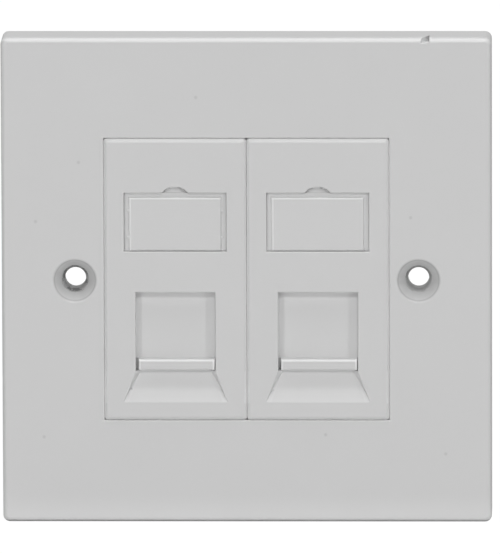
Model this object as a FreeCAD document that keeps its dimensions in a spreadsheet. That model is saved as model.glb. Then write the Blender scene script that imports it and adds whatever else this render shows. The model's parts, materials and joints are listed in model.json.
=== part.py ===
import FreeCAD, Part
import math
import os
import re
import Sketcher
from FreeCAD import Vector

# Two-port keystone faceplate, single gang, with spring-closed dust shutters. Millimetres.
#
# Finished frame: X to the right, Z up, the front face looks along -Y, and the origin is the
# centre of the wall plane. Each moulding is drawn in a frame of its own, where x runs across
# it, y is the depth behind the front face and z runs up from its centre.

SIZES = {
    # Faceplate shell
    "plate_side": 86.0,
    "plate_depth": 9.0,
    "plate_corner": 1.2,
    "plate_edge": 0.9,
    "face_wall": 2.2,
    "side_wall": 2.0,
    "inner_corner": 0.8,
    # Fixing holes, their bosses and the ribs behind the face
    "fixing_margin": 5.12,
    "head_radius": 3.65,
    "seat_radius": 2.4,
    "seat_depth": 2.2,
    "seat_land": 0.8,
    "bore_radius": 1.85,
    "bore_lead": 0.6,
    "hole_edge": 0.25,
    "boss_wall": 1.4,
    "boss_depth": 6.5,
    "rib_thickness": 1.2,
    "rib_depth": 5.2,
    "rib_offset": 16.0,
    "collar_corner": 1.0,
    # Window, its collar and the rails that the modules snap over
    "window_rise": 0.22,
    "window_end_play": 0.04,
    "window_edge": 0.3,
    "collar_wall": 1.5,
    "collar_depth": 8.0,
    "rail_reach": 1.2,
    "rail_thickness": 1.2,
    # Chip in the top front edge
    "chip_place": 30.6,
    "chip_length": 1.5,
    "chip_depth": 3.2,
    "chip_drop": 0.9,
    # Module shell
    "module_width": 25.0,
    "module_height": 50.0,
    "module_gap": 0.02,
    "module_proud": 0.3,
    "module_corner": 0.5,
    "module_edge": 0.8,
    "opening_edge": 0.2,
    "module_wall": 1.8,
    "rim_depth": 3.0,
    "side_rim": 1.2,
    "end_rim": 2.4,
    # Snap arms, and the tabs that hold the jack carrier
    "arm_width": 10.0,
    "arm_wall": 1.15,
    "arm_depth": 6.2,
    "hook_reach": 0.85,
    "hook_tip": 0.6,
    "snap_play": 0.1,
    "tab_length": 6.0,
    "tab_offset": 13.0,
    "barb_reach": 0.7,
    "barb_tip": 0.5,
    "barb_play": 0.05,
    # Label recess and label plate
    "label_width": 17.95,
    "label_height": 10.4,
    "label_drop": 9.62,
    "label_recess": 1.05,
    "label_play": 0.05,
    "notch_radius": 3.1,
    "notch_rise": 1.0,
    "flange_thickness": 0.3,
    "pane_thickness": 0.45,
    "pane_width": 16.2,
    "pane_height": 9.55,
    "pane_edge": 0.35,
    "pip_radius": 0.35,
    "pip_thickness": 0.25,
    "pip_spacing": 4.8,
    # Port opening and finger scoop
    "port_width": 14.0,
    "port_height": 14.0,
    "port_drop": 27.25,
    "scoop_width": 18.3,
    "scoop_height": 5.55,
    "scoop_depth": 1.2,
    "scoop_ramp": 2.1,
    "scoop_slant": 1.0,
    "scoop_round": 3.0,
    "sill_wall": 1.6,
    "guide_wall": 1.0,
    "guide_margin": 0.5,
    # Shutter
    "shutter_wall": 1.1,
    "shutter_overlap": 1.1,
    "shutter_cover": 6.7,
    "shutter_play": 0.25,
    "guide_play": 0.3,
    "sill_play": 0.1,
    "top_play": 0.5,
    "lip_height": 2.0,
    "lip_play": 0.3,
    "lip_shift": 0.18,
    "lip_round": 0.45,
    "lug_width": 2.8,
    "lug_height": 1.5,
    "spigot_radius": 0.65,
    "spigot_length": 2.0,
    # Jack carrier, its keystone socket and its spring housing
    "carrier_wall": 1.4,
    "carrier_play": 0.1,
    "carrier_end_play": 0.2,
    "jack_width": 14.9,
    "jack_height": 16.4,
    "jack_lead": 1.8,
    "room_above": 2.0,
    "room_below": 1.4,
    "catch_drop": 0.8,
    "catch_depth": 4.4,
    "catch_rise": 0.2,
    "latch_ledge": 1.8,
    "latch_depth": 5.8,
    "mouth_lead": 0.9,
    "mouth_rise": 0.6,
    "socket_wall": 1.6,
    "socket_depth": 10.0,
    "socket_edge": 0.5,
    "housing_depth": 3.1,
    "housing_wall": 1.2,
    "housing_back": 0.8,
    "housing_play": 0.3,
    "seat_wall": 1.2,
    "slot_width": 1.4,
    "slot_margin": 1.4,
    # Shutter spring
    "coil_radius": 1.05,
    "wire_radius": 0.15,
    "spring_play": 0.1,
}

# What follows from the sizes, in the same words.
FITS = {
    "half_plate": "plate_side / 2",
    "window_half_width": "module_width + 1.5 * module_gap",
    "window_half_height": "module_height / 2 + window_end_play",
    "fixing_place": "window_half_width + fixing_margin",
    "window_top": "window_rise + window_half_height",
    "window_bottom": "window_rise - window_half_height",
    "module_place": "(module_width + module_gap) / 2",
    "half_width": "module_width / 2",
    "half_height": "module_height / 2",
    "rail_front": "rim_depth - module_proud",
    "boss_radius": "seat_radius + boss_wall",
    "cavity_half_width": "half_width - side_rim",
    "cavity_half_height": "half_height - end_rim",
    "arm_outside": "cavity_half_height + arm_wall",
    "label_top": "half_height - label_drop",
    "label_bottom": "label_top - label_height",
    "flange_bottom": "label_bottom + label_play",
    "flange_back": "label_recess",
    "flange_front": "flange_back - flange_thickness",
    "pane_front": "flange_front - pane_thickness",
    "port_top": "half_height - port_drop",
    "port_bottom": "port_top - port_height",
    "port_middle": "port_bottom + port_height / 2",
    "scoop_bottom": "port_bottom - scoop_height",
    "shutter_front": "module_wall + shutter_play",
    "shutter_back": "shutter_front + shutter_wall",
    "shutter_half_width": "port_width / 2 + shutter_overlap",
    "shutter_bottom": "port_bottom + sill_play",
    "shutter_top": "port_top + shutter_cover",
    "shutter_travel": "port_height - sill_play - lip_height - top_play",
    "guide_inside": "shutter_half_width + guide_play",
    "guide_top": "shutter_top + shutter_travel + guide_margin",
    "carrier_front": "shutter_back + shutter_play",
    "carrier_back": "carrier_front + carrier_wall",
    "carrier_half_width": "cavity_half_width - carrier_play",
    "carrier_half_height": "cavity_half_height - carrier_end_play",
    "jack_top": "port_middle + jack_height / 2",
    "jack_bottom": "port_middle - jack_height / 2",
    "socket_back": "carrier_front + socket_depth",
    "socket_roof": "jack_top + room_above",
    "socket_floor": "jack_bottom - room_below",
    "housing_floor": "carrier_front + housing_depth",
    "housing_half_width": "lug_width / 2 + housing_play",
    "housing_bottom": "shutter_top - lug_height - housing_play",
    "spring_seat": "carrier_half_height - seat_wall",
    "spring_axis": "(shutter_back + housing_floor) / 2",
}

# Where each side's module stands: across, proud of the front face, and up.
SIDES = {"left": ("-module_place", "module_proud", "window_rise"),
         "right": ("module_place", "module_proud", "window_rise")}

# Sketch planes: the origin plane, and which way its normal runs along the axis it measures.
PLANES = {"front": ("XZ_Plane", -1), "side": ("YZ_Plane", 1), "plan": ("XY_Plane", 1)}

CLOSE = 1e-4


def formula(text):
    """A FreeCAD expression on the sheet, from plain words."""
    def spelled_out(match):
        word = match.group(0)
        if word in FITS:
            return f"({formula(FITS[word])})"
        return f"sizes.{word}"
    return re.sub(r"[a-z][a-z_]+", spelled_out, str(text))


def bind(item, setting, text):
    """Tie one setting of an object to the sheet."""
    item.setExpression(setting, formula(text))


def place(item, name, across="0", proud="0", up="0"):
    """Name a finished piece and put its own frame where it belongs."""
    item.Label = name
    bind(item, "Placement.Base.x", across)
    bind(item, "Placement.Base.y", f"-(plate_depth + {proud})")
    bind(item, "Placement.Base.z", up)


def length(text):
    """The value in millimetres of plain words."""
    return float(sheet.evalExpression(formula(text)))


# Outlines are lists of corners, each corner a pair of plain words.

def box(left, right, bottom, top):
    """A rectangle."""
    return [(left, bottom), (right, bottom), (right, top), (left, top)]


def centred(half_width, bottom, top):
    """A rectangle about the centre line."""
    return box(f"-({half_width})", half_width, bottom, top)


def flipped_across(outline):
    """The same outline on the other side of the centre line."""
    return [(f"-({across})", up) for across, up in reversed(outline)]


def flipped_up(outline):
    """The same outline upside down."""
    return [(across, f"-({up})") for across, up in reversed(outline)]


class Moulding:
    """A PartDesign body, with a short name for each kind of step that shapes it."""

    def __init__(self, name, *where):
        self.body = document.addObject("PartDesign::Body", name)
        place(self.body, name, *where)

    def feature(self, kind, name):
        return self.body.newObject(f"PartDesign::{kind}", f"{self.body.Name}_{name}")

    def sketch(self, name, plane, level, outlines, circles=(), shift="0"):
        """Outlines and circles on an origin plane moved to a level, every corner tied to the sheet."""
        role, sign = PLANES[plane]
        drawing = self.body.newObject("Sketcher::SketchObject", f"{self.body.Name}_{name}_sketch")
        origin_plane = next(item for item in self.body.Origin.OriginFeatures if item.Role == role)
        drawing.AttachmentSupport = [(origin_plane, "")]
        drawing.MapMode = "FlatFace"
        bind(drawing, "AttachmentOffset.Base.x", shift)
        bind(drawing, "AttachmentOffset.Base.z", f"{sign} * ({level})")
        for outline in outlines:
            corners = [Vector(length(across), length(up), 0) for across, up in outline]
            ends = corners[1:] + corners[:1]
            lines = [drawing.addGeometry(Part.LineSegment(*pair), False) for pair in zip(corners, ends)]
            for line, following in zip(lines, lines[1:] + lines[:1]):
                drawing.addConstraint(Sketcher.Constraint("Coincident", line, 2, following, 1))
            for line, corner, words in zip(lines, corners, outline):
                self.hold(drawing, line, 1, corner, words)
        for across, up, radius in circles:
            centre = Vector(length(across), length(up), 0)
            ring = drawing.addGeometry(Part.Circle(centre, Vector(0, 0, 1), length(radius)), False)
            self.hold(drawing, ring, 3, centre, (across, up))
            size = drawing.addConstraint(Sketcher.Constraint("Radius", ring, length(radius)))
            bind(drawing, f"Constraints[{size}]", radius)
        return drawing

    def hold(self, drawing, shape, point, place, words):
        """Dimension one point of a sketch from its origin."""
        for kind, value, text in zip(("DistanceX", "DistanceY"), place, words):
            size = drawing.addConstraint(Sketcher.Constraint(kind, -1, 1, shape, point, value))
            bind(drawing, f"Constraints[{size}]", text)

    def pad(self, name, plane, start, end, *outlines, circles=()):
        """Material between two levels of a plane's axis."""
        pad = self.feature("Pad", name)
        pad.Profile = self.sketch(name, plane, start, outlines, circles)
        pad.Reversed = PLANES[plane][1] < 0
        bind(pad, "Length", f"{end} - ({start})")

    def pocket(self, name, plane, start, end, *outlines, circles=()):
        """A hollow between two levels of a plane's axis."""
        before = self.volume()
        pocket = self.feature("Pocket", name)
        pocket.Profile = self.sketch(name, plane, start, outlines, circles)
        pocket.Reversed = PLANES[plane][1] > 0
        bind(pocket, "Length", f"{end} - ({start})")
        self.must_cut(name, before)

    def turned_hole(self, name, across, outline):
        """A round hole through the face, turned from its half outline of radius and depth."""
        before = self.volume()
        groove = self.feature("Groove", name)
        groove.Profile = self.sketch(name, "plan", "0", [outline], shift=across)
        groove.ReferenceAxis = (groove.Profile[0], ["V_Axis"])
        groove.Angle = 360
        self.must_cut(name, before)

    def lofted_hollow(self, name, *levels):
        """A hollow that blends from one outline to the next, each given with its depth."""
        before = self.volume()
        sketches = [self.sketch(f"{name}_{number}", "front", depth, [outline])
                    for number, (depth, outline) in enumerate(levels)]
        loft = self.feature("SubtractiveLoft", name)
        loft.Profile = sketches[0]
        loft.Sections = sketches[1:]
        loft.Ruled = True
        self.must_cut(name, before)

    def round_edges(self, name, radius, chosen):
        """Fillet the edges that a test picks by their bounding box."""
        document.recompute()
        tip = self.body.Tip
        names = [f"Edge{number}" for number, edge in enumerate(tip.Shape.Edges, start=1)
                 if chosen(edge.BoundBox)]
        if not names:
            raise RuntimeError(f"{self.body.Name}: no edge for {name}")
        fillet = self.feature("Fillet", name)
        fillet.Base = (tip, names)
        bind(fillet, "Radius", radius)

    def volume(self):
        document.recompute()
        return self.body.Shape.Volume

    def must_cut(self, name, before):
        if self.volume() >= before - CLOSE:
            raise RuntimeError(f"{self.body.Name}: {name} cuts nothing")


def runs_back(bounds):
    """True for a straight edge square to the front face."""
    return bounds.XLength < CLOSE and bounds.ZLength < CLOSE and bounds.YLength > CLOSE


def in_front_face(bounds):
    """True for an edge that lies in the front face."""
    return bounds.YMax < CLOSE


def within(bounds, outline):
    """True for an edge inside a rectangle or on it."""
    (left, bottom), (right, top) = [[length(words) for words in corner] for corner in (outline[0], outline[2])]
    return (left - CLOSE < bounds.XMin and bounds.XMax < right + CLOSE
            and bottom - CLOSE < bounds.ZMin and bounds.ZMax < top + CLOSE)


def near(value, words):
    return abs(value - length(words)) < CLOSE


def build_faceplate():
    """The one-piece shell: face, side walls, window collar with rails, screw bosses and ribs."""
    plate = Moulding("faceplate")
    plate.pad("block", "front", "0", "plate_depth", centred("half_plate", "-half_plate", "half_plate"))
    plate.round_edges("corners", "plate_corner", runs_back)
    plate.round_edges("front_edge", "plate_edge", in_front_face)
    inside = "half_plate - side_wall"
    hollow = centred(inside, f"-({inside})", inside)
    plate.pocket("hollow", "front", "face_wall", "plate_depth", hollow)
    plate.round_edges("hollow_corners", "inner_corner", lambda edge: runs_back(edge) and within(edge, hollow))

    collar = centred("window_half_width + collar_wall", "window_bottom - collar_wall",
                     "window_top + collar_wall")
    plate.pad("collar", "front", "face_wall", "collar_depth", collar)
    plate.round_edges("collar_corners", "collar_corner", lambda edge: runs_back(edge) and within(edge, collar))
    boss_places = ("-fixing_place", "fixing_place")
    plate.pad("bosses", "front", "face_wall", "boss_depth",
              circles=[(across, "0", "boss_radius") for across in boss_places])

    half_rib = "rib_thickness / 2"
    rib_sides = (f"rib_offset - {half_rib}", f"rib_offset + {half_rib}")
    ribs = {"boss_rib": box("fixing_place + bore_radius + boss_wall", inside, f"-{half_rib}", half_rib),
            "upper_rib": box(*rib_sides, "window_top + collar_wall / 2", inside),
            "lower_rib": box(*rib_sides, f"-({inside})", "window_bottom - collar_wall / 2")}
    for name, rib in ribs.items():
        plate.pad(f"right_{name}", "front", "face_wall", "rib_depth", rib)
        plate.pad(f"left_{name}", "front", "face_wall", "rib_depth", flipped_across(rib))

    window = centred("window_half_width", "window_bottom", "window_top")
    plate.pocket("window", "front", "0", "collar_depth", window)
    plate.round_edges("window_edge", "window_edge",
                      lambda edge: in_front_face(edge) and within(edge, window))
    plate.pad("rails", "front", "rail_front", "rail_front + rail_thickness",
              centred("window_half_width", "window_top - rail_reach", "window_top"),
              centred("window_half_width", "window_bottom", "window_bottom + rail_reach"))

    hole = [("0", "0"), ("head_radius + hole_edge", "0"), ("head_radius", "hole_edge"),
            ("seat_radius", "seat_depth"),
            ("seat_radius", "seat_depth + seat_land"),
            ("bore_radius", "seat_depth + seat_land + bore_lead"),
            ("bore_radius", "boss_depth"), ("0", "boss_depth")]
    for name, across in zip(("left_hole", "right_hole"), boss_places):
        plate.turned_hole(name, across, hole)

    chip = [("chip_place", "0"), ("chip_place + chip_length", "0"),
            ("chip_place + chip_length", "chip_depth")]
    plate.pocket("chip", "plan", "half_plate - chip_drop", "half_plate", chip)


def build_module(side):
    """A half-width module: front wall and rim, snap arms, label recess, port and finger scoop."""
    module = Moulding(f"{side}_module", *SIDES[side])
    module.pad("block", "front", "0", "rim_depth", centred("half_width", "-half_height", "half_height"))
    module.round_edges("corners", "module_corner", runs_back)
    module.round_edges("front_edge", "module_edge", in_front_face)
    cavity = centred("cavity_half_width", "-cavity_half_height", "cavity_half_height")
    module.pocket("cavity", "front", "module_wall", "rim_depth", cavity)

    # Behind the front wall: the sill under the port and the two guides beside the shutter.
    guide_outside = "guide_inside + guide_wall"
    sill = centred(guide_outside, "port_bottom - sill_wall", "port_bottom")
    guide = box("guide_inside", guide_outside, "port_bottom - sill_wall / 2", "guide_top")
    module.pad("sill", "front", "module_wall", "carrier_front", sill)
    module.pad("right_guide", "front", "module_wall", "carrier_front", guide)
    module.pad("left_guide", "front", "module_wall", "carrier_front", flipped_across(guide))

    # Snap arms, drawn from the side: the hook catches behind the window's rails.
    catch = "rim_depth + rail_thickness + snap_play"
    tip = "arm_outside + hook_reach"
    arm = [("module_wall", "cavity_half_height"), ("arm_depth", "cavity_half_height"),
           ("arm_depth", "arm_outside - hook_tip / 2"), (f"{catch} + hook_tip", tip), (catch, tip),
           (catch, "arm_outside"), ("module_wall", "arm_outside")]
    module.pad("top_arm", "side", "-arm_width / 2", "arm_width / 2", arm)
    module.pad("bottom_arm", "side", "-arm_width / 2", "arm_width / 2", flipped_up(arm))

    # Four tabs, drawn from above: their barbs hold the jack carrier.
    barb = "carrier_back + barb_play"
    tab = [("cavity_half_width", "module_wall"), ("half_width", "module_wall"),
           ("half_width", "arm_depth"), ("cavity_half_width", "arm_depth"),
           ("cavity_half_width - barb_reach", f"{barb} + barb_tip"),
           ("cavity_half_width - barb_reach", barb), ("cavity_half_width", barb)]
    for name, middle in (("upper", "tab_offset"), ("lower", "-tab_offset")):
        start = f"{middle} - tab_length / 2"
        end = f"{middle} + tab_length / 2"
        module.pad(f"{name}_right_tab", "plan", start, end, tab)
        module.pad(f"{name}_left_tab", "plan", start, end, flipped_across(tab))

    # Front: label recess with a thumb notch, port opening and finger scoop.
    module.pocket("label_recess", "front", "0", "label_recess",
                  centred("label_width / 2", "label_bottom", "label_top"))
    notch_middle = "label_top + notch_rise - notch_radius"
    module.pocket("thumb_notch", "front", "0", "label_recess",
                  circles=[("0", notch_middle, "notch_radius")])
    module.pocket("port", "front", "0", "module_wall", centred("port_width / 2", "port_bottom", "port_top"))
    openings = centred("label_width / 2", "port_bottom", "label_top + notch_rise")
    module.round_edges("opening_edges", "opening_edge",
                       lambda edge: in_front_face(edge) and within(edge, openings))
    rim = [("-scoop_width / 2", "scoop_bottom"), ("scoop_width / 2", "scoop_bottom"),
           ("port_width / 2", "port_bottom"), ("-port_width / 2", "port_bottom")]
    foot = "scoop_bottom + scoop_ramp"
    floor = [("scoop_slant - scoop_width / 2", foot), ("scoop_width / 2 - scoop_slant", foot),
             ("port_width / 2 - scoop_slant", "port_bottom"), ("scoop_slant - port_width / 2", "port_bottom")]
    module.lofted_hollow("scoop", ("0", rim), ("scoop_depth", floor))
    module.round_edges("scoop_floor", "scoop_round",
                       lambda edge: near(edge.ZMin, foot) and near(edge.ZMax, foot)
                       and near(edge.YMax, "scoop_depth"))


def build_jack_carrier(side):
    """The moulding behind the module: plate, keystone socket and the shutter spring's housing."""
    carrier = Moulding(f"{side}_jack_carrier", *SIDES[side])
    carrier.pad("plate", "front", "carrier_front", "carrier_back",
                centred("carrier_half_width", "-carrier_half_height", "carrier_half_height"))
    socket_half_width = "jack_width / 2 + socket_wall"
    roof = "socket_roof + socket_wall"
    carrier.pad("socket_block", "front", "carrier_front", "socket_back",
                centred(socket_half_width, "socket_floor - socket_wall", roof))
    spine_half_width = "housing_half_width + housing_wall"
    spine_back = "housing_floor + housing_back"
    carrier.pad("spring_housing", "front", "carrier_front", spine_back,
                centred(spine_half_width, roof, "carrier_half_height"))
    carrier.round_edges("socket_edges", "socket_edge",
                        lambda edge: runs_back(edge) and near(edge.YMax, "socket_back"))

    # Keystone socket, drawn from the side: a fixed catch below, and a ledge for the jack's latch above.
    back = "carrier_front"
    catch = "socket_floor + catch_drop"
    ledge = "socket_roof - latch_ledge"
    socket = [(back, "jack_bottom"), (f"{back} + jack_lead", "jack_bottom"),
              (f"{back} + jack_lead", "socket_floor"),
              (f"{back} + jack_lead + catch_depth", "socket_floor"),
              (f"{back} + jack_lead + catch_depth + catch_drop", catch),
              ("socket_back", f"{catch} + catch_rise"), ("socket_back", f"{ledge} + mouth_rise"),
              ("socket_back - mouth_lead", ledge),
              (f"{back} + jack_lead + latch_depth", ledge),
              (f"{back} + jack_lead + latch_depth", "socket_roof"),
              (f"{back} + jack_lead", "socket_roof"), (f"{back} + jack_lead", "jack_top"),
              (back, "jack_top")]
    carrier.pocket("socket", "side", "-jack_width / 2", "jack_width / 2", socket)

    # Spring housing: a channel for the shutter's lug and spring, and a slot that vents it.
    carrier.pocket("channel", "front", "carrier_front", "housing_floor",
                   centred("housing_half_width", "housing_bottom", "spring_seat"))
    carrier.pocket("slot", "front", "housing_floor", spine_back,
                   centred("slot_width / 2", "housing_bottom + slot_margin", "spring_seat - slot_margin"))
    carrier.pad("spigot", "plan", "spring_seat - spigot_length", "spring_seat + seat_wall / 2",
                circles=[("0", "spring_axis", "spigot_radius")])


def build_shutter(side):
    """The sliding shutter: panel, finger lip in the port, and the lug that the spring pushes."""
    shutter = Moulding(f"{side}_shutter", *SIDES[side])
    lip_half_width = "port_width / 2 - lip_play"
    shutter.pad("lip", "front", "0", "shutter_back",
                box(f"lip_shift - ({lip_half_width})", f"lip_shift + {lip_half_width}",
                    "shutter_bottom", "shutter_bottom + lip_height"))
    shutter.round_edges("lip_edge", "lip_round", in_front_face)
    shutter.pad("panel", "front", "shutter_front", "shutter_back",
                centred("shutter_half_width", "shutter_bottom", "shutter_top"))
    shutter.pad("lug", "front", "shutter_front", "housing_floor - housing_play",
                centred("lug_width / 2", "shutter_top - lug_height", "shutter_top"))
    shutter.pad("spigot", "plan", "shutter_top - lug_height / 2", "shutter_top + spigot_length",
                circles=[("0", "spring_axis", "spigot_radius")])


def build_label_plate(side):
    """The label plate: a flange on the recess floor and a raised pane. The left one has four pips too."""
    label = Moulding(f"{side}_label_plate", *SIDES[side])
    flange_half_width = "label_width / 2 - label_play"
    pane_top = "flange_bottom + pane_height"
    pane_middle = "flange_bottom + pane_height / 2"
    label.pad("pane", "front", "pane_front", "flange_back", centred("pane_width / 2", "flange_bottom", pane_top))
    label.round_edges("pane_edge", "pane_edge", lambda edge: near(edge.YMax, "pane_front"))
    label.pad("flange", "front", "flange_front", "flange_back",
              centred(flange_half_width, "flange_bottom", "label_top - label_play"))
    if side == "left":
        pips = [(across, f"{pane_middle} {up} pip_spacing / 2", "pip_radius")
                for across in ("pane_width / 2", "-pane_width / 2") for up in ("+", "-")]
        label.pad("pips", "front", "flange_front - pip_thickness", "flange_back", circles=pips)


WIRE_SIDES = 6
STEPS_PER_TURN = 12
OPEN_TURNS = 9
CLOSED_PITCH = 2.4


def build_spring(side):
    """The compression spring: straight lengths of wire round a coil, with a closed turn at each end."""
    wire = length("wire_radius")
    bottom = length("shutter_top + spring_play") + wire
    top = length("spring_seat") - wire
    closed_rise = CLOSED_PITCH * wire
    open_rise = (top - bottom - 2 * closed_rise) / OPEN_TURNS
    centres = []
    for step in range(STEPS_PER_TURN * (OPEN_TURNS + 2) + 1):
        turn = step / STEPS_PER_TURN
        open_part = min(max(turn - 1, 0), OPEN_TURNS)
        angle = 2 * math.pi * turn
        centres.append(Vector(length("coil_radius") * math.cos(angle),
                              length("spring_axis") + length("coil_radius") * math.sin(angle),
                              bottom + open_part * open_rise + (turn - open_part) * closed_rise))

    along = (centres[1] - centres[0]).normalize()
    outward = along.cross(Vector(0, 0, 1)).normalize()
    upward = outward.cross(along)
    section = []
    for corner in range(WIRE_SIDES + 1):
        angle = 2 * math.pi * corner / WIRE_SIDES
        section.append(centres[0] + outward * (wire * math.cos(angle)) + upward * (wire * math.sin(angle)))
    square_corners = 1
    spring = document.addObject("Part::Feature", f"{side}_shutter_spring")
    spring.Shape = Part.makePolygon(centres).makePipeShell([Part.makePolygon(section)], True, False,
                                                           square_corners)
    place(spring, f"{side}_shutter_spring", *SIDES[side])


def write_parts():
    """Check every object, then write each sub-part to its own file."""
    document.recompute()
    for item in document.Objects:
        if "Invalid" in item.State or "Error" in item.State:
            raise RuntimeError(f"{item.Name} failed: {item.State}")
    os.makedirs("parts", exist_ok=True)
    volume = 0.0
    for item in document.Objects:
        if item.TypeId not in ("PartDesign::Body", "Part::Feature"):
            continue
        shape = item.Shape
        if shape.isNull() or not shape.isValid() or len(shape.Solids) != 1:
            raise RuntimeError(f"{item.Label} isn't one valid solid")
        shape.exportStep(f"parts/{item.Label}.step")
        volume += shape.Volume
        print(f"{item.Label}: {shape.Volume:.1f} mm3, {len(shape.Faces)} faces")
    print(f"all: {volume:.1f} mm3")


document = FreeCAD.newDocument("keystone_faceplate")
sheet = document.addObject("Spreadsheet::Sheet", "sizes")
for row, (word, value) in enumerate(SIZES.items(), start=1):
    sheet.set(f"A{row}", word)
    sheet.set(f"B{row}", str(value))
    sheet.setAlias(f"B{row}", word)
document.recompute()

build_faceplate()
for side in SIDES:
    build_module(side)
    build_jack_carrier(side)
    build_shutter(side)
    build_spring(side)
    build_label_plate(side)
write_parts()
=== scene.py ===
# %% [markdown]
# # A two-port keystone faceplate, dressed for a studio picture
#
# The solids of this part come from its engineering model, already at their real size and
# place. This notebook gives them what moulded plastic has and a plain solid lacks: soft
# edges, a finish, the marks of use, light and a camera. Read it from top to bottom: each
# step first says what the thing is on the real object, then how it is made here.

# %% Load the frame
import bmesh
import bpy
import json
import math
from mathutils import Matrix, Quaternion, Vector


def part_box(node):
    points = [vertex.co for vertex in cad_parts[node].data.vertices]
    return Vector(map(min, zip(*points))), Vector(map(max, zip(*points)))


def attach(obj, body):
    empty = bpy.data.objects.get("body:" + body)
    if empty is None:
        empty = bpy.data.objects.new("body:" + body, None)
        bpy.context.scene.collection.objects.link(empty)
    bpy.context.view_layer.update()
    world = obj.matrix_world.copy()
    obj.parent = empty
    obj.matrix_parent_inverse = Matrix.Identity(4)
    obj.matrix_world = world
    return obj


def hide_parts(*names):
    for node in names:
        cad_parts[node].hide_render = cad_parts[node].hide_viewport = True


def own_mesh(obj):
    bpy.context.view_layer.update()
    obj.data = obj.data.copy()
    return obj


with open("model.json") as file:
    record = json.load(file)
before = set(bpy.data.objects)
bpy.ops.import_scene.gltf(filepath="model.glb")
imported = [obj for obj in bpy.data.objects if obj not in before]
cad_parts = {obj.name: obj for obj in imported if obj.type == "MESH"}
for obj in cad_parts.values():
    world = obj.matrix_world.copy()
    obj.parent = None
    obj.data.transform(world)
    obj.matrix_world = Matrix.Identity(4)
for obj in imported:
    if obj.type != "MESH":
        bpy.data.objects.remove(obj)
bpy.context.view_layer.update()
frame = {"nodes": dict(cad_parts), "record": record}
print("nodes:", sorted(frame["nodes"]))

MM = 0.001
SIDES = ("left", "right")

# %% [markdown]
# ## Where things are
#
# The places that several steps share are worked out from the solids' own boxes, and the
# holes' place from the record of the part, so they follow when a size changes. The front
# face looks along -Y, X runs to the right and Z up.

# %% Places
plate_low, plate_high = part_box("faceplate")
front = plate_low.y
plate_middle = Vector(((plate_low.x + plate_high.x) / 2, front, (plate_low.z + plate_high.z) / 2))
holes = next(mount for mount in frame["record"]["mounts"] if mount["name"] == "fixing_holes")
hole_offset = holes["dims"]["spacing_x_mm"] * MM / 2
module_middle = {}
for side in SIDES:
    low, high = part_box(f"{side}_module")
    module_middle[side] = (low.x + high.x) / 2
module_low, module_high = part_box("right_module")
window_half = Vector((module_middle["right"] * 2, (module_high.z - module_low.z) / 2))
shutter_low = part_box("left_shutter")[0]
label_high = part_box("left_label_plate")[1]
print("front face at y =", round(front, 4), "module centres at x =", module_middle)

# %% [markdown]
# ## Two small helpers
#
# Every piece, lamp and camera in Blender is an object that holds some data and is linked to
# the scene. The lamps and the camera also need a direction, given as the angle round the
# plate and the angle above its middle.

# %% Objects and directions
def add_object(name, data):
    """A new object that holds this data."""
    item = bpy.data.objects.new(name, data)
    bpy.context.scene.collection.objects.link(item)
    return item


def add_mesh_object(name, mesh, material):
    """A new object from a finished bmesh, which is freed."""
    data = bpy.data.meshes.new(name)
    mesh.to_mesh(data)
    mesh.free()
    data.materials.append(material)
    return add_object(name, data)


def direction(azimuth, elevation):
    """The way from the plate to a place this far round to the right and this far up, in degrees."""
    turn = math.radians(azimuth)
    lift = math.radians(elevation)
    return Vector((math.sin(turn) * math.cos(lift), -math.cos(turn) * math.cos(lift), math.sin(lift)))


print("straight in front is", tuple(direction(0, 0)))

# %% [markdown]
# ## Shader maths that reads like maths
#
# A finish is a small sum: how strong a scratch is, times where it may be. Blender builds
# such sums from nodes. `Signal` wraps one node socket, so `1 - mask * 0.5` adds the Math
# nodes by itself, and `Finish.node` adds any other kind of node in one line.

# %% Signals and finishes
class Signal:
    """One output socket of a shader node, ready for sums."""

    def __init__(self, finish, socket):
        self.finish = finish
        self.socket = socket

    def maths(self, operation, *values):
        """One Math node."""
        return self.finish.node("ShaderNodeMath", {"operation": operation}, dict(enumerate(values)))

    def __add__(self, other):
        return self.maths("ADD", self, other)

    def __sub__(self, other):
        return self.maths("SUBTRACT", self, other)

    def __rsub__(self, other):
        return self.maths("SUBTRACT", other, self)

    def __mul__(self, other):
        return self.maths("MULTIPLY", self, other)

    def __abs__(self):
        return self.maths("ABSOLUTE", self)

    __radd__ = __add__
    __rmul__ = __mul__

    def larger(self, other):
        """The larger of this and another."""
        return self.maths("MAXIMUM", self, other)

    def between(self, low, high):
        """0 below low, 1 above high and a smooth rise between them."""
        return self.finish.node("ShaderNodeMapRange", {"interpolation_type": "SMOOTHSTEP"},
                                {"Value": self, "From Min": low, "From Max": high})


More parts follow.
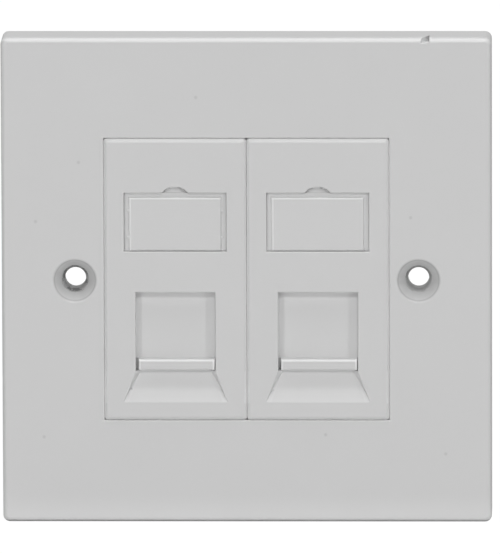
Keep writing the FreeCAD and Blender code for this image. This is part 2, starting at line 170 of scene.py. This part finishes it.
class Finish:
    """A material with a Principled shader, and a short way to add nodes to it."""

    def __init__(self, name, **sockets):
        self.material = bpy.data.materials.new(name)
        self.material.use_nodes = True
        self.tree = self.material.node_tree
        self.shader = self.tree.nodes["Principled BSDF"]
        self.place = Signal(self, self.tree.nodes.new("ShaderNodeTexCoord").outputs["Object"])
        for socket, value in sockets.items():
            self.shader.inputs[socket.replace("_", " ")].default_value = value

    def node(self, kind, settings=None, values=None, output=0):
        """A new node: its settings first, then the value or link of each socket."""
        node = self.tree.nodes.new(kind)
        for setting, value in (settings or {}).items():
            setattr(node, setting, value)
        for socket, value in (values or {}).items():
            if isinstance(value, Signal):
                self.tree.links.new(value.socket, node.inputs[socket])
            else:
                node.inputs[socket].default_value = value
        return Signal(self, node.outputs[output])

    def feed(self, socket, signal):
        """Join a signal to one socket of the Principled shader."""
        self.tree.links.new(signal.socket, self.shader.inputs[socket])

    def noise(self, size, detail=2.0, place=None):
        """Soft random blotches of about this size in metres, from 0 to 1."""
        return self.node("ShaderNodeTexNoise", None,
                         {"Vector": place or self.place, "Scale": 1 / size, "Detail": detail})

    def distance(self, point, place=None):
        """The distance from this point."""
        return self.node("ShaderNodeVectorMath", {"operation": "DISTANCE"},
                         {0: place or self.place, 1: point}, output="Value")

    def across_face(self, point):
        """The distance from a line through this point, square to the front face."""
        flat = self.node("ShaderNodeVectorMath", {"operation": "MULTIPLY"}, {0: self.place, 1: (1, 0, 1)})
        return self.distance((point[0], 0, point[2]), flat)

    def axis(self, letter):
        """One coordinate of the place: X, Y or Z."""
        return self.node("ShaderNodeSeparateXYZ", None, {"Vector": self.place}, output=letter)

    def blend(self, amount, first, second):
        """A colour between two others."""
        return self.node("ShaderNodeMix", {"data_type": "RGBA"},
                         {"Factor": amount, 6: first, 7: second}, output=2)

    def bump(self, height, depth, below=None):
        """Relief of this depth in metres, laid over the relief below it."""
        values = {"Height": height, "Distance": depth, "Strength": 1.0}
        if below is not None:
            values["Normal"] = below
        return self.node("ShaderNodeBump", None, values)


def grey(level):
    """A neutral colour of this reflectance."""
    return (level, level, level, 1.0)


print("shader helpers are ready")

# %% [markdown]
# ## The finishes
#
# The faceplate and the modules are moulded in a white plastic with a satin surface. A
# polished steel mould leaves it smooth, with a faint unevenness from the way the plastic
# shrank, so the relief is at most a few hundredths of a millimetre deep and shows only in
# the reflections. An image of plastic would need a flat map of every face. Here the tones,
# the gloss and the relief come from noise in the piece's own space, which needs no map and
# has no seams. Each finish starts from this plastic, and the next steps add to its colour,
# gloss and relief before they are joined to the shader.

# %% White plastic
WHITE = 0.64
UNEVENNESS = 0.012


def white_plastic(name, level=WHITE, roughness=0.36):
    """Satin white moulded plastic: slow changes of tone, a faint grain and an uneven gloss."""
    finish = Finish(name, IOR=1.49, Specular_IOR_Level=0.5)
    slow = finish.noise(14 * MM)
    fine = finish.noise(0.5 * MM, detail=4.0)
    tone = slow * 0.6 + fine * 0.4
    finish.colour = finish.blend(tone, grey(level - UNEVENNESS), grey(level + UNEVENNESS))
    finish.gloss = roughness + (finish.noise(3 * MM, detail=3.0) - 0.5) * 0.12
    grain = finish.bump(finish.noise(0.25 * MM, detail=3.0), 0.0015 * MM)
    finish.relief = finish.bump(finish.noise(9 * MM), 0.02 * MM, below=grain)
    return finish


def close(finish):
    """Join the finished colour, gloss and relief to the shader."""
    finish.feed("Base Color", finish.colour)
    finish.feed("Roughness", finish.gloss)
    finish.feed("Normal", finish.relief)
    return finish.material


print("the white returns", WHITE, "of the light")

# %% [markdown]
# ### Painted light on the gap walls
#
# White plastic lets some light through. On a real plate that light fills the narrow gaps
# round the modules and the corners of the ports, so they look paler than they would in an
# opaque material. Blender can follow the light under the surface, but that is slow and
# stays grainy in gaps this narrow. So that light is painted: the walls of those gaps have a
# paler colour as painted light, and a mask on the piece's own coordinates keeps it to them.
# The thumb notches over the labels are wide enough to lose that light, so they keep the
# plastic's own tone.

# %% Gap walls and thumb notches
PAINTED_LIGHT_GREY = 0.92
PORT_HEIGHT = 14.0 * MM


def paint_light_in_window(finish):
    """Painted light: a paler colour on the walls of the faceplate's window."""
    deep = finish.axis("Y").between(front + 0.05 * MM, front + 0.25 * MM)
    for letter, half in (("X", window_half.x), ("Z", window_half.y)):
        deep = deep * (1 - abs(finish.axis(letter)).between(half + 0.5 * MM, half + 0.7 * MM))
    finish.colour = finish.blend(deep, finish.colour, grey(PAINTED_LIGHT_GREY))


def paint_light_on_module(finish):
    """Painted light on a module's rim and on the walls of its port, but not in its thumb notch, which
    keeps the plastic's own tone.
    """
    half = (module_high - module_low) / 2
    across = abs(abs(finish.axis("X")) - module_middle["right"])
    up = abs(finish.axis("Z") - (module_high.z + module_low.z) / 2)
    # Painted light on the module's rim and on its port walls.
    rim = across.between(half.x - 0.35 * MM, half.x).larger(up.between(half.z - 0.3 * MM, half.z)) * 0.6
    deep = finish.axis("Y").between(module_low.y + 0.5 * MM, module_low.y + 0.7 * MM)
    from_port = abs(finish.axis("Z") - (shutter_low.z + PORT_HEIGHT / 2))
    port = deep * (1 - from_port.between(PORT_HEIGHT / 2 - 0.1 * MM, PORT_HEIGHT / 2))
    finish.colour = finish.blend(rim.larger(port), finish.colour, grey(PAINTED_LIGHT_GREY))
    notch = deep * finish.axis("Z").between(label_high.z - 0.3 * MM, label_high.z)
    finish.colour = finish.blend(notch * (1 - rim), finish.colour, grey(WHITE))


print("the gap walls return", PAINTED_LIGHT_GREY, "of the light")

# %% [markdown]
# ### Scoops and outer edges
#
# The finger scoop under each port comes from a duller part of the mould, and its sides and
# ramp are painted paler, as painted light for the light they gather from each other. The
# faceplate has a painted highlight along its upper front edge, painted light at the foot of
# its face and painted shade round its lower edge, where it stands. Such faces could be picked
# one by one and given materials of their own, but then each tone would end in a hard line.
# A mask fades out, and it moves with one number.

# %% Scoop and edge tones
SCOOP_HEIGHT = 5.7 * MM
SCOOP_RAMP_TOP = -3.4 * MM
SCOOP_HALF_WIDTH = 5.9 * MM
SCOOP_FLARE = 0.387


def dull_scoop_with_painted_light(finish):
    """A duller finger scoop, which throws no bright line from its curve, with painted light on its sides
    and ramp.
    """
    up = finish.axis("Z") - shutter_low.z
    scoop = up.between(-SCOOP_HEIGHT - 0.3 * MM, -SCOOP_HEIGHT) * (1 - up.between(-0.3 * MM, 0.0))
    scoop = scoop * finish.axis("Y").between(module_low.y + 0.02 * MM, module_low.y + 0.1 * MM)
    finish.gloss = finish.gloss + scoop * 0.18
    # Painted light: the ramp and the sloping sides are painted paler for the light they gather from each
    # other.
    ramp = scoop * (1 - up.between(SCOOP_RAMP_TOP - 0.4 * MM, SCOOP_RAMP_TOP + 0.4 * MM))
    finish.colour = finish.blend(ramp * 0.1, finish.colour, grey(PAINTED_LIGHT_GREY))
    across = abs(abs(finish.axis("X")) - module_middle["right"])
    sides = scoop * (across + up * SCOOP_FLARE).between(SCOOP_HALF_WIDTH, SCOOP_HALF_WIDTH + 0.3 * MM)
    finish.colour = finish.blend(sides * 0.15, finish.colour, grey(PAINTED_LIGHT_GREY))


def paint_edge_light_and_shade(finish):
    """A painted highlight along the upper front edge, painted light at the foot of the face and painted
    shade round the lower edge.
    """
    up = finish.axis("Z")
    near_front = 1 - finish.axis("Y").between(front + 0.6 * MM, front + 1.0 * MM)
    # Painted highlight along the upper front edge.
    line = 1 - abs(up - (plate_high.z - 0.38 * MM)).between(0.05 * MM, 0.3 * MM)
    finish.colour = finish.blend(near_front * line * 0.4, finish.colour, grey(PAINTED_LIGHT_GREY))
    # Painted light at the foot of the face.
    foot = 1 - up.between(plate_low.z + 0.8 * MM, plate_low.z + 5.5 * MM)
    finish.colour = finish.blend(near_front * foot * 0.2, finish.colour, grey(PAINTED_LIGHT_GREY))
    # Painted shade round the lower edge, where the plate stands.
    edge = 1 - up.between(plate_low.z + 0.25 * MM, plate_low.z + 0.6 * MM)
    finish.colour = finish.blend(near_front * edge * 0.6, finish.colour, grey(0.3))


print("the scoops widen by", SCOOP_FLARE, "on each side for each step down")

# %% [markdown]
# ### Marks of use
#
# Dust and handling leave a few specks on the face. The small chip in the top edge shows
# rough, mottled plastic, painted paler as painted light in its hollow. The walls of the two
# fixing holes carry painted shade, darker further in, with dark spots of uneven outline,
# and a thin dark line runs round each countersink. All of this could be painted on a flat
# map. Here each mark is a distance from a known point, so it stays sharp at any size, and
# noise makes its border uneven where the real one is.

# %% Specks, holes and chip
SPECKS = [(-35.7, -27.8), (13.8, -27.4), (-8.8, 32.5), (34.9, -30.8), (28.8, 11.2),
          (-37.0, 10.5), (-29.4, 21.0)]
CHIP = Vector((31.6, 1.0, -0.5)) * MM
COUNTERSINK_RADIUS = 3.6 * MM
SEAT_RADIUS = 2.4 * MM


def add_specks(finish):
    """A few pinhead specks of dust in the front face."""
    for across, up in SPECKS:
        spot = plate_middle + Vector((across * MM, 0, up * MM))
        mark = 1 - finish.distance(spot).between(0.1 * MM, 0.45 * MM)
        finish.colour = finish.blend(mark * 0.3, finish.colour, grey(0.35))


def paint_hole_shade_and_spots(finish):
    """Painted shade on the walls of the two fixing holes, darker further in, with dark spots of uneven
    outline, and a thin dark line round each countersink.
    """
    dark = finish.axis("Y").between(front + 2.8 * MM, front + 3.4 * MM)
    for side, spot_level in ((-1, 0.46), (1, 0.58)):
        hole = plate_middle + Vector((side * hole_offset, 0, 0))
        hole_noise = finish.noise(0.9 * MM, detail=4.0)
        reach = finish.across_face(hole)
        # Painted shade: the walls darken further into the hole.
        walls = finish.blend(dark, grey(0.70), grey(0.34))
        walls = finish.blend(hole_noise.between(spot_level, spot_level + 0.08), walls, grey(0.2))
        uneven_reach = reach + (hole_noise - 0.5) * 0.5 * MM
        inside = 1 - uneven_reach.between(SEAT_RADIUS - 0.1 * MM, SEAT_RADIUS + 0.1 * MM)
        finish.colour = finish.blend(inside, finish.colour, walls)
        finish.relief = finish.bump(hole_noise * inside, 0.1 * MM, below=finish.relief)
        line = 1 - abs(reach - COUNTERSINK_RADIUS).between(0.02 * MM, 0.18 * MM)
        finish.colour = finish.blend(line * 0.3, finish.colour, grey(0.2))


def add_chip_with_painted_light(finish):
    """Mottled plastic in the chip in the top edge, where it broke without a mould to smooth it, painted
    paler as painted light in its hollow.
    """
    middle = Vector((plate_middle.x, front, plate_high.z)) + CHIP
    broken = 1 - finish.distance(middle).between(0.8 * MM, 1.3 * MM)
    # Painted light: the chip's hollow is painted paler than the plastic round it.
    mottled = finish.blend(finish.noise(0.4 * MM, detail=3.0), grey(0.62), grey(0.92))
    finish.colour = finish.blend(broken, finish.colour, mottled)


print("specks:", len(SPECKS))

# %% [markdown]
# ### Three white mouldings
#
# The faceplate, the modules and the carriers come out of different moulds, so each kind has
# a finish of its own. One finish for all would need a mask for every mark, to keep it off
# the other pieces. The carriers sit behind the modules, where nobody sees them, and they
# are a little greyer and duller.

# %% Join the white finishes
plate_finish = white_plastic("white_plastic_faceplate")
paint_light_in_window(plate_finish)
paint_edge_light_and_shade(plate_finish)
add_specks(plate_finish)
paint_hole_shade_and_spots(plate_finish)
add_chip_with_painted_light(plate_finish)
module_finish = white_plastic("white_plastic_module", level=WHITE + 0.004, roughness=0.34)
paint_light_on_module(module_finish)
dull_scoop_with_painted_light(module_finish)
carrier_finish = white_plastic("white_plastic_carrier", level=WHITE - 0.05, roughness=0.48)
materials = {"faceplate": close(plate_finish), "module": close(module_finish),
             "jack_carrier": close(carrier_finish)}
print("finishes:", sorted(materials))

# %% [markdown]
# ### The label panes
#
# Each label sits under a pane of clear plastic. Such a pane gathers light inside and lets
# it out at its edges, so its upper edge and one side look brighter than the white round
# them. Real light gathering is slow to work out and easy to get wrong, so here the two
# edges are simply a lighter colour, kept to the pane's rounding by masks.

# %% Label finish
PANE_WIDTH = 16.2 * MM
PANE_HEIGHT = 9.55 * MM
PANE_ROUNDING = 0.35 * MM


def label_plastic(side):
    """White label under clear plastic, with a painted highlight along the upper and the left edge."""
    finish = white_plastic(f"{side}_label_plastic", level=WHITE + 0.008, roughness=0.36)
    low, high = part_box(f"{side}_label_plate")
    in_front = 1 - finish.axis("Y").between(low.y + PANE_ROUNDING, low.y + 1.2 * PANE_ROUNDING)
    edges = {"X": (low.x + high.x - PANE_WIDTH + PANE_ROUNDING) / 2,
             "Z": low.z + PANE_HEIGHT - PANE_ROUNDING / 2}
    for letter, middle in edges.items():
        offset = abs(finish.axis(letter) - middle)
        line = (1 - offset.between(0.3 * PANE_ROUNDING, 0.7 * PANE_ROUNDING)) * in_front
        finish.colour = finish.blend(line * 0.5, finish.colour, grey(0.95))
    return close(finish)


for side in SIDES:
    materials[f"{side}_label_plate"] = label_plastic(side)
print("panes of", PANE_WIDTH / MM, "by", PANE_HEIGHT / MM, "mm")

# %% [markdown]
# ### The shutter's finger lip
#
# The lip is the only part of the shutter that a finger touches, and two shallow grooves
# along it give the finger some grip. They are only a few hundredths deep, so they are
# relief in the finish, kept to the lip's front by a mask, with a faint painted shade in them.
# The lip's edges carry a painted highlight, the panel behind the lip is painted a little
# paler as painted light, and painted shade darkens the panel where it shows in the narrow
# gap on the lip's left.

# %% Shutter finish
GROOVE_PITCH = 0.62 * MM
LIP_HEIGHT = 2.0 * MM
LIP_HALF_WIDTH = 6.7 * MM
LIP_SHIFT = 0.18 * MM


def shutter_plastic(side):
    """White plastic with two grip grooves on the lip, faint painted shade in the grooves, painted light
    on the panel, a painted highlight on the lip's edges and painted shade in the gap on its left.
    """
    finish = white_plastic(f"{side}_shutter_plastic", level=WHITE + 0.004, roughness=0.34)
    up = finish.axis("Z") - shutter_low.z
    across = finish.axis("X") - (module_middle[side] + LIP_SHIFT)
    depth = finish.axis("Y") - shutter_low.y
    on_face = 1 - depth.between(0.02 * MM, 0.05 * MM)
    for step in (-0.5, 0.5):
        offset = abs(up - (LIP_HEIGHT * 0.48 + GROOVE_PITCH * step))
        groove = (1 - offset.between(0.02 * MM, 0.13 * MM)) * on_face
        finish.relief = finish.bump(1 - groove, 0.012 * MM, below=finish.relief)
        # Painted shade: the grooves are a little darker in colour.
        finish.colour = finish.blend(groove * 0.05, finish.colour, grey(0.4))
    # Painted light: the panel behind the lip is a little paler.
    on_panel = depth.between(0.6 * MM, 0.8 * MM)
    finish.colour = finish.blend(on_panel * 0.05, finish.colour, grey(PAINTED_LIGHT_GREY))
    # Painted highlight along the lip's upper edge and its two sides.
    for offset, middle in ((up, LIP_HEIGHT - 0.2 * MM), (abs(across), LIP_HALF_WIDTH - 0.2 * MM)):
        edge = 1 - abs(offset - middle).between(0.05 * MM, 0.3 * MM)
        finish.colour = finish.blend(edge * (1 - on_panel) * 0.5, finish.colour, grey(0.95))
    # Painted shade on the panel where it shows in the narrow gap on the lip's left.
    beside = on_panel * (1 - up.between(LIP_HEIGHT - 0.1 * MM, LIP_HEIGHT))
    gap = beside * (1 - across.between(-LIP_HALF_WIDTH, 0.05 * MM - LIP_HALF_WIDTH))
    finish.colour = finish.blend(gap * 0.4, finish.colour, grey(0.2))
    return close(finish)


for side in SIDES:
    materials[f"{side}_shutter"] = shutter_plastic(side)
print("lip grooves", GROOVE_PITCH / MM, "mm apart")

# %% [markdown]
# ### Spring wire
#
# The springs are steel wire, drawn bright through a die, which leaves fine marks on it. They
# could run along the wire on a map of its own, but the wire is only 0.3 mm thick and sits
# behind the modules, so fine noise is enough.

# %% Wire finish
def drawn_wire():
    """Bright steel wire with fine marks in its tone, gloss and relief."""
    finish = Finish("drawn_spring_wire", Metallic=1.0)
    streaks = finish.noise(0.08 * MM, detail=3.0)
    finish.colour = finish.blend(streaks, grey(0.42), grey(0.62))
    finish.gloss = 0.22 + streaks * 0.16
    finish.relief = finish.bump(streaks, 0.002 * MM)
    return close(finish)


materials["shutter_spring"] = drawn_wire()
print("finishes:", sorted(materials))

# %% [markdown]
# ## Soft edges
#
# No moulded edge is perfectly sharp: the mould's own corners have a radius, and that thin
# rounding catches the light and draws a bright line round every opening. The engineering
# solids have the big radii but not these small ones. A shader can fake such a rounding,
# but then the outline stays sharp, so it is made in the mesh. `soften` takes a copy of a
# solid, welds its loose triangles, clears the needless edges in its flat faces, and gives
# the sharp edges a small bevel. The faces are then shaded smooth, weighted by their area,
# so that flat walls stay flat and only the roundings turn.

# %% Soften the moulded pieces
EDGE_ROUNDING = {"faceplate": 0.12 * MM, "module": 0.05 * MM, "jack_carrier": 0.12 * MM,
                 "label_plate": 0.05 * MM, "shutter": 0.05 * MM}
SHARP = math.radians(26)


def stand_in(piece, node):
    """This piece takes the place of a CAD node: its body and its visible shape."""
    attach(piece, body_of[node])
    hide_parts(node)


def soften(node, kind):
    """A copy of a moulded solid with small bevels on its sharp edges."""
    mesh = bmesh.new()
    mesh.from_mesh(frame["nodes"][node].data)
    bmesh.ops.remove_doubles(mesh, verts=mesh.verts, dist=0.001 * MM)
    bmesh.ops.dissolve_limit(mesh, angle_limit=math.radians(0.5), verts=mesh.verts, edges=mesh.edges)
    for face in mesh.faces:
        face.smooth = True
    piece = add_mesh_object(f"{node}_moulding", mesh, materials.get(node) or materials[kind])
    bevel = piece.modifiers.new("soft edges", "BEVEL")
    bevel.width = EDGE_ROUNDING[kind]
    bevel.segments = 2
    bevel.limit_method = "ANGLE"
    bevel.angle_limit = SHARP
    bevel.use_clamp_overlap = False
    weighted = piece.modifiers.new("flat walls", "WEIGHTED_NORMAL")
    weighted.weight = 100
    weighted.keep_sharp = False
    stand_in(piece, node)
    return piece


body_of = {node: body for body, nodes in frame["record"]["behaviour"]["bodies"].items() for node in nodes}
pieces = {"faceplate": soften("faceplate", "faceplate")}
for side in SIDES:
    for kind in ("module", "jack_carrier", "label_plate", "shutter"):
        pieces[f"{side}_{kind}"] = soften(f"{side}_{kind}", kind)
print("softened:", {name: len(piece.data.polygons) for name, piece in pieces.items()})

# %% [markdown]
# ## The shutter springs
#
# Behind each module a thin compression spring pushes the shutter down over the port. The
# solid model has it as straight lengths of wire. A thick curve could follow the coil, but
# its points would have to be worked out one by one. So it is wound instead: a small circle,
# the wire's section, is spun round the coil's axis with a steady rise, first a closed turn,
# then the open turns, then a closed turn again, as a spring winder does.

# %% Wind the springs
WIRE_RADIUS = 0.15 * MM
OPEN_TURNS = 9
CLOSED_RISE = 2.4 * WIRE_RADIUS
STEPS = 24


def wind_spring(side):
    """A coil wound by three spins of the wire's section."""
    low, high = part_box(f"{side}_shutter_spring")
    axis = Vector(((low.x + high.x) / 2, (low.y + high.y) / 2, 0))
    coil_radius = (high.x - low.x) / 2 - WIRE_RADIUS
    open_rise = (high.z - low.z - 2 * WIRE_RADIUS - 2 * CLOSED_RISE) / OPEN_TURNS
    mesh = bmesh.new()
    start = Matrix.Translation((axis.x + coil_radius, axis.y, low.z + WIRE_RADIUS))
    bmesh.ops.create_circle(mesh, segments=12, radius=WIRE_RADIUS, cap_ends=True,
                            matrix=start @ Matrix.Rotation(math.radians(90), 4, "X"))
    end = [*mesh.verts, *mesh.edges, *mesh.faces]
    for turns, rise in ((1, CLOSED_RISE), (OPEN_TURNS, open_rise), (1, CLOSED_RISE)):
        spun = bmesh.ops.spin(mesh, geom=end, cent=axis, axis=(0, 0, 1), angle=2 * math.pi * turns,
                              dvec=(0, 0, rise / STEPS), steps=STEPS * turns, use_merge=False)
        end = spun["geom_last"]
    bmesh.ops.recalc_face_normals(mesh, faces=mesh.faces)
    for face in mesh.faces:
        face.smooth = len(face.verts) == 4
    print(side, "spring:", len(mesh.faces), "faces, from z", round(low.z, 5), "to", round(high.z, 5))
    piece = add_mesh_object(f"{side}_wound_spring", mesh, materials["shutter_spring"])
    return piece, low, high


for side in SIDES:
    spring, low, high = wind_spring(side)
    stand_in(spring, f"{side}_shutter_spring")
    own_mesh(spring)

# %% [markdown]
# ## Floor and backdrop
#
# The plate stands on its lower edge on a pale floor. The floor looks white to the camera
# but still takes the plate's soft shadow: to the camera it is mostly a plain white glow,
# with a little of the lit surface mixed in, and to everything else it is an ordinary pale
# surface, so it doesn't flood the plate with light.

# %% Floor
def pale_floor():
    """A floor material that the camera sees as white with a faint shadow."""
    finish = Finish("pale_floor", Base_Color=grey(0.7), Roughness=0.9)
    rays = finish.tree.nodes.new("ShaderNodeLightPath")
    glow = finish.node("ShaderNodeEmission", None, {"Color": grey(1.0), "Strength": 1.06},
                       output="Emission")
    seen = Signal(finish, rays.outputs["Is Camera Ray"]) * 0.93
    mixed = finish.node("ShaderNodeMixShader", None,
                        {0: seen, 1: Signal(finish, finish.shader.outputs["BSDF"]), 2: glow})
    finish.tree.links.new(mixed.socket, finish.tree.nodes["Material Output"].inputs["Surface"])
    return finish.material


def flat_floor(half_side):
    """A large square just under the plate."""
    mesh = bmesh.new()
    bmesh.ops.create_grid(mesh, x_segments=1, y_segments=1, size=half_side,
                          matrix=Matrix.Translation((0, 0, plate_low.z)))
    add_mesh_object("floor", mesh, pale_floor())


flat_floor(half_side=6.0)
print("the floor lies at z =", round(plate_low.z, 4))

# %% [markdown]
# ### The room around
#
# The world is what surrounds the scene. It looks white to the camera, gives the reflections
# a pale room, and adds only a little light, so that the lamps' shadows stay.

# %% World
FILL = 0.07
MIRRORED = 0.55
world = bpy.data.worlds.new("studio")
bpy.context.scene.world = world
world.use_nodes = True
sky = world.node_tree
rays = sky.nodes.new("ShaderNodeLightPath")


def brightness(kind_of_ray, seen, otherwise):
    """This level for one kind of ray, and another for every other kind."""
    choice = sky.nodes.new("ShaderNodeMix")
    sky.links.new(rays.outputs[kind_of_ray], choice.inputs["Factor"])
    choice.inputs["B"].default_value = seen
    if isinstance(otherwise, float):
        choice.inputs["A"].default_value = otherwise
    else:
        sky.links.new(otherwise, choice.inputs["A"])
    return choice.outputs["Result"]


background = sky.nodes["Background"]
background.inputs["Color"].default_value = grey(1.0)
in_reflections = brightness("Is Glossy Ray", MIRRORED, FILL)
sky.links.new(brightness("Is Camera Ray", 1.0, in_reflections), background.inputs["Strength"])
print("the world fills with", FILL, "and shows as", MIRRORED, "in reflections")

# %% [markdown]
# ## Studio lamps
#
# One large lamp would light the plate evenly and leave nothing to read its shape by. So
# three small soft boxes stand in front of it: one to the left, one further round to the
# right and one above. Each is small enough to draw a soft-edged band of shadow inside the
# ports, and the one above draws the bright line along every rounding that tilts upwards. A
# wide soft box overhead lights the top wall and the floor, which throws some of that light
# back up at the front, and one behind lights the plate's hollow back.

# %% Lamps
def soft_box(name, azimuth, elevation, share, spread, distance=3.0):
    """A square lamp aimed at the plate. White that squarely faces it is lit to this share of white."""
    towards = direction(azimuth, elevation)
    lamp = bpy.data.lights.new(name, "AREA")
    lamp.shape = "SQUARE"
    lamp.size = 2 * distance * math.tan(math.radians(spread) / 2)
    lamp.energy = share * math.pi ** 2 * distance ** 2
    holder = add_object(name, lamp)
    holder.location = plate_middle + towards * distance
    holder.rotation_euler = (-towards).to_track_quat("-Z", "Y").to_euler()
    print(name, round(lamp.energy, 3), "W")


soft_box("left_soft_box", azimuth=-29, elevation=4, share=0.155, spread=6)
soft_box("right_soft_box", azimuth=42, elevation=4, share=0.135, spread=6)
soft_box("top_soft_box", azimuth=4, elevation=31, share=0.28, spread=8)
soft_box("overhead_soft_box", azimuth=0, elevation=84, share=0.56, spread=40)
soft_box("back_soft_box", azimuth=180, elevation=50, share=0.18, spread=30)

# %% [markdown]
# ## Camera
#
# A long lens far away keeps the plate's sides nearly parallel, as a product picture does.
# The camera looks slightly down and from a touch to the right. The lens is worked out from
# the width that the picture shows at the plate.

# %% Camera
AZIMUTH = 1.4
ELEVATION = 9.1
DISTANCE = 2.5
ROLL = -0.2
FRAME_WIDTH = 87.7193 * MM
AIM = Vector((0.6, 0, 0.67)) * MM
towards = direction(AZIMUTH, ELEVATION)
lens = bpy.data.cameras.new("camera")
lens.sensor_fit = "HORIZONTAL"
lens.lens = lens.sensor_width * DISTANCE / FRAME_WIDTH
lens.clip_end = 50
camera = add_object("camera", lens)
camera.location = plate_middle + AIM + towards * DISTANCE
upright = towards.to_track_quat("Z", "Y")
camera.rotation_euler = (upright @ Quaternion((0, 0, 1), math.radians(ROLL))).to_euler()
bpy.context.scene.camera = camera
bpy.context.scene.view_settings.view_transform = "Standard"
print("lens", round(lens.lens), "mm")

# %% [markdown]
# ## The end
#
# Softened edges and wound springs must leave the part as large as its solids are. The last
# step brings the scene up to date.

# %% Finish
bpy.context.view_layer.update()
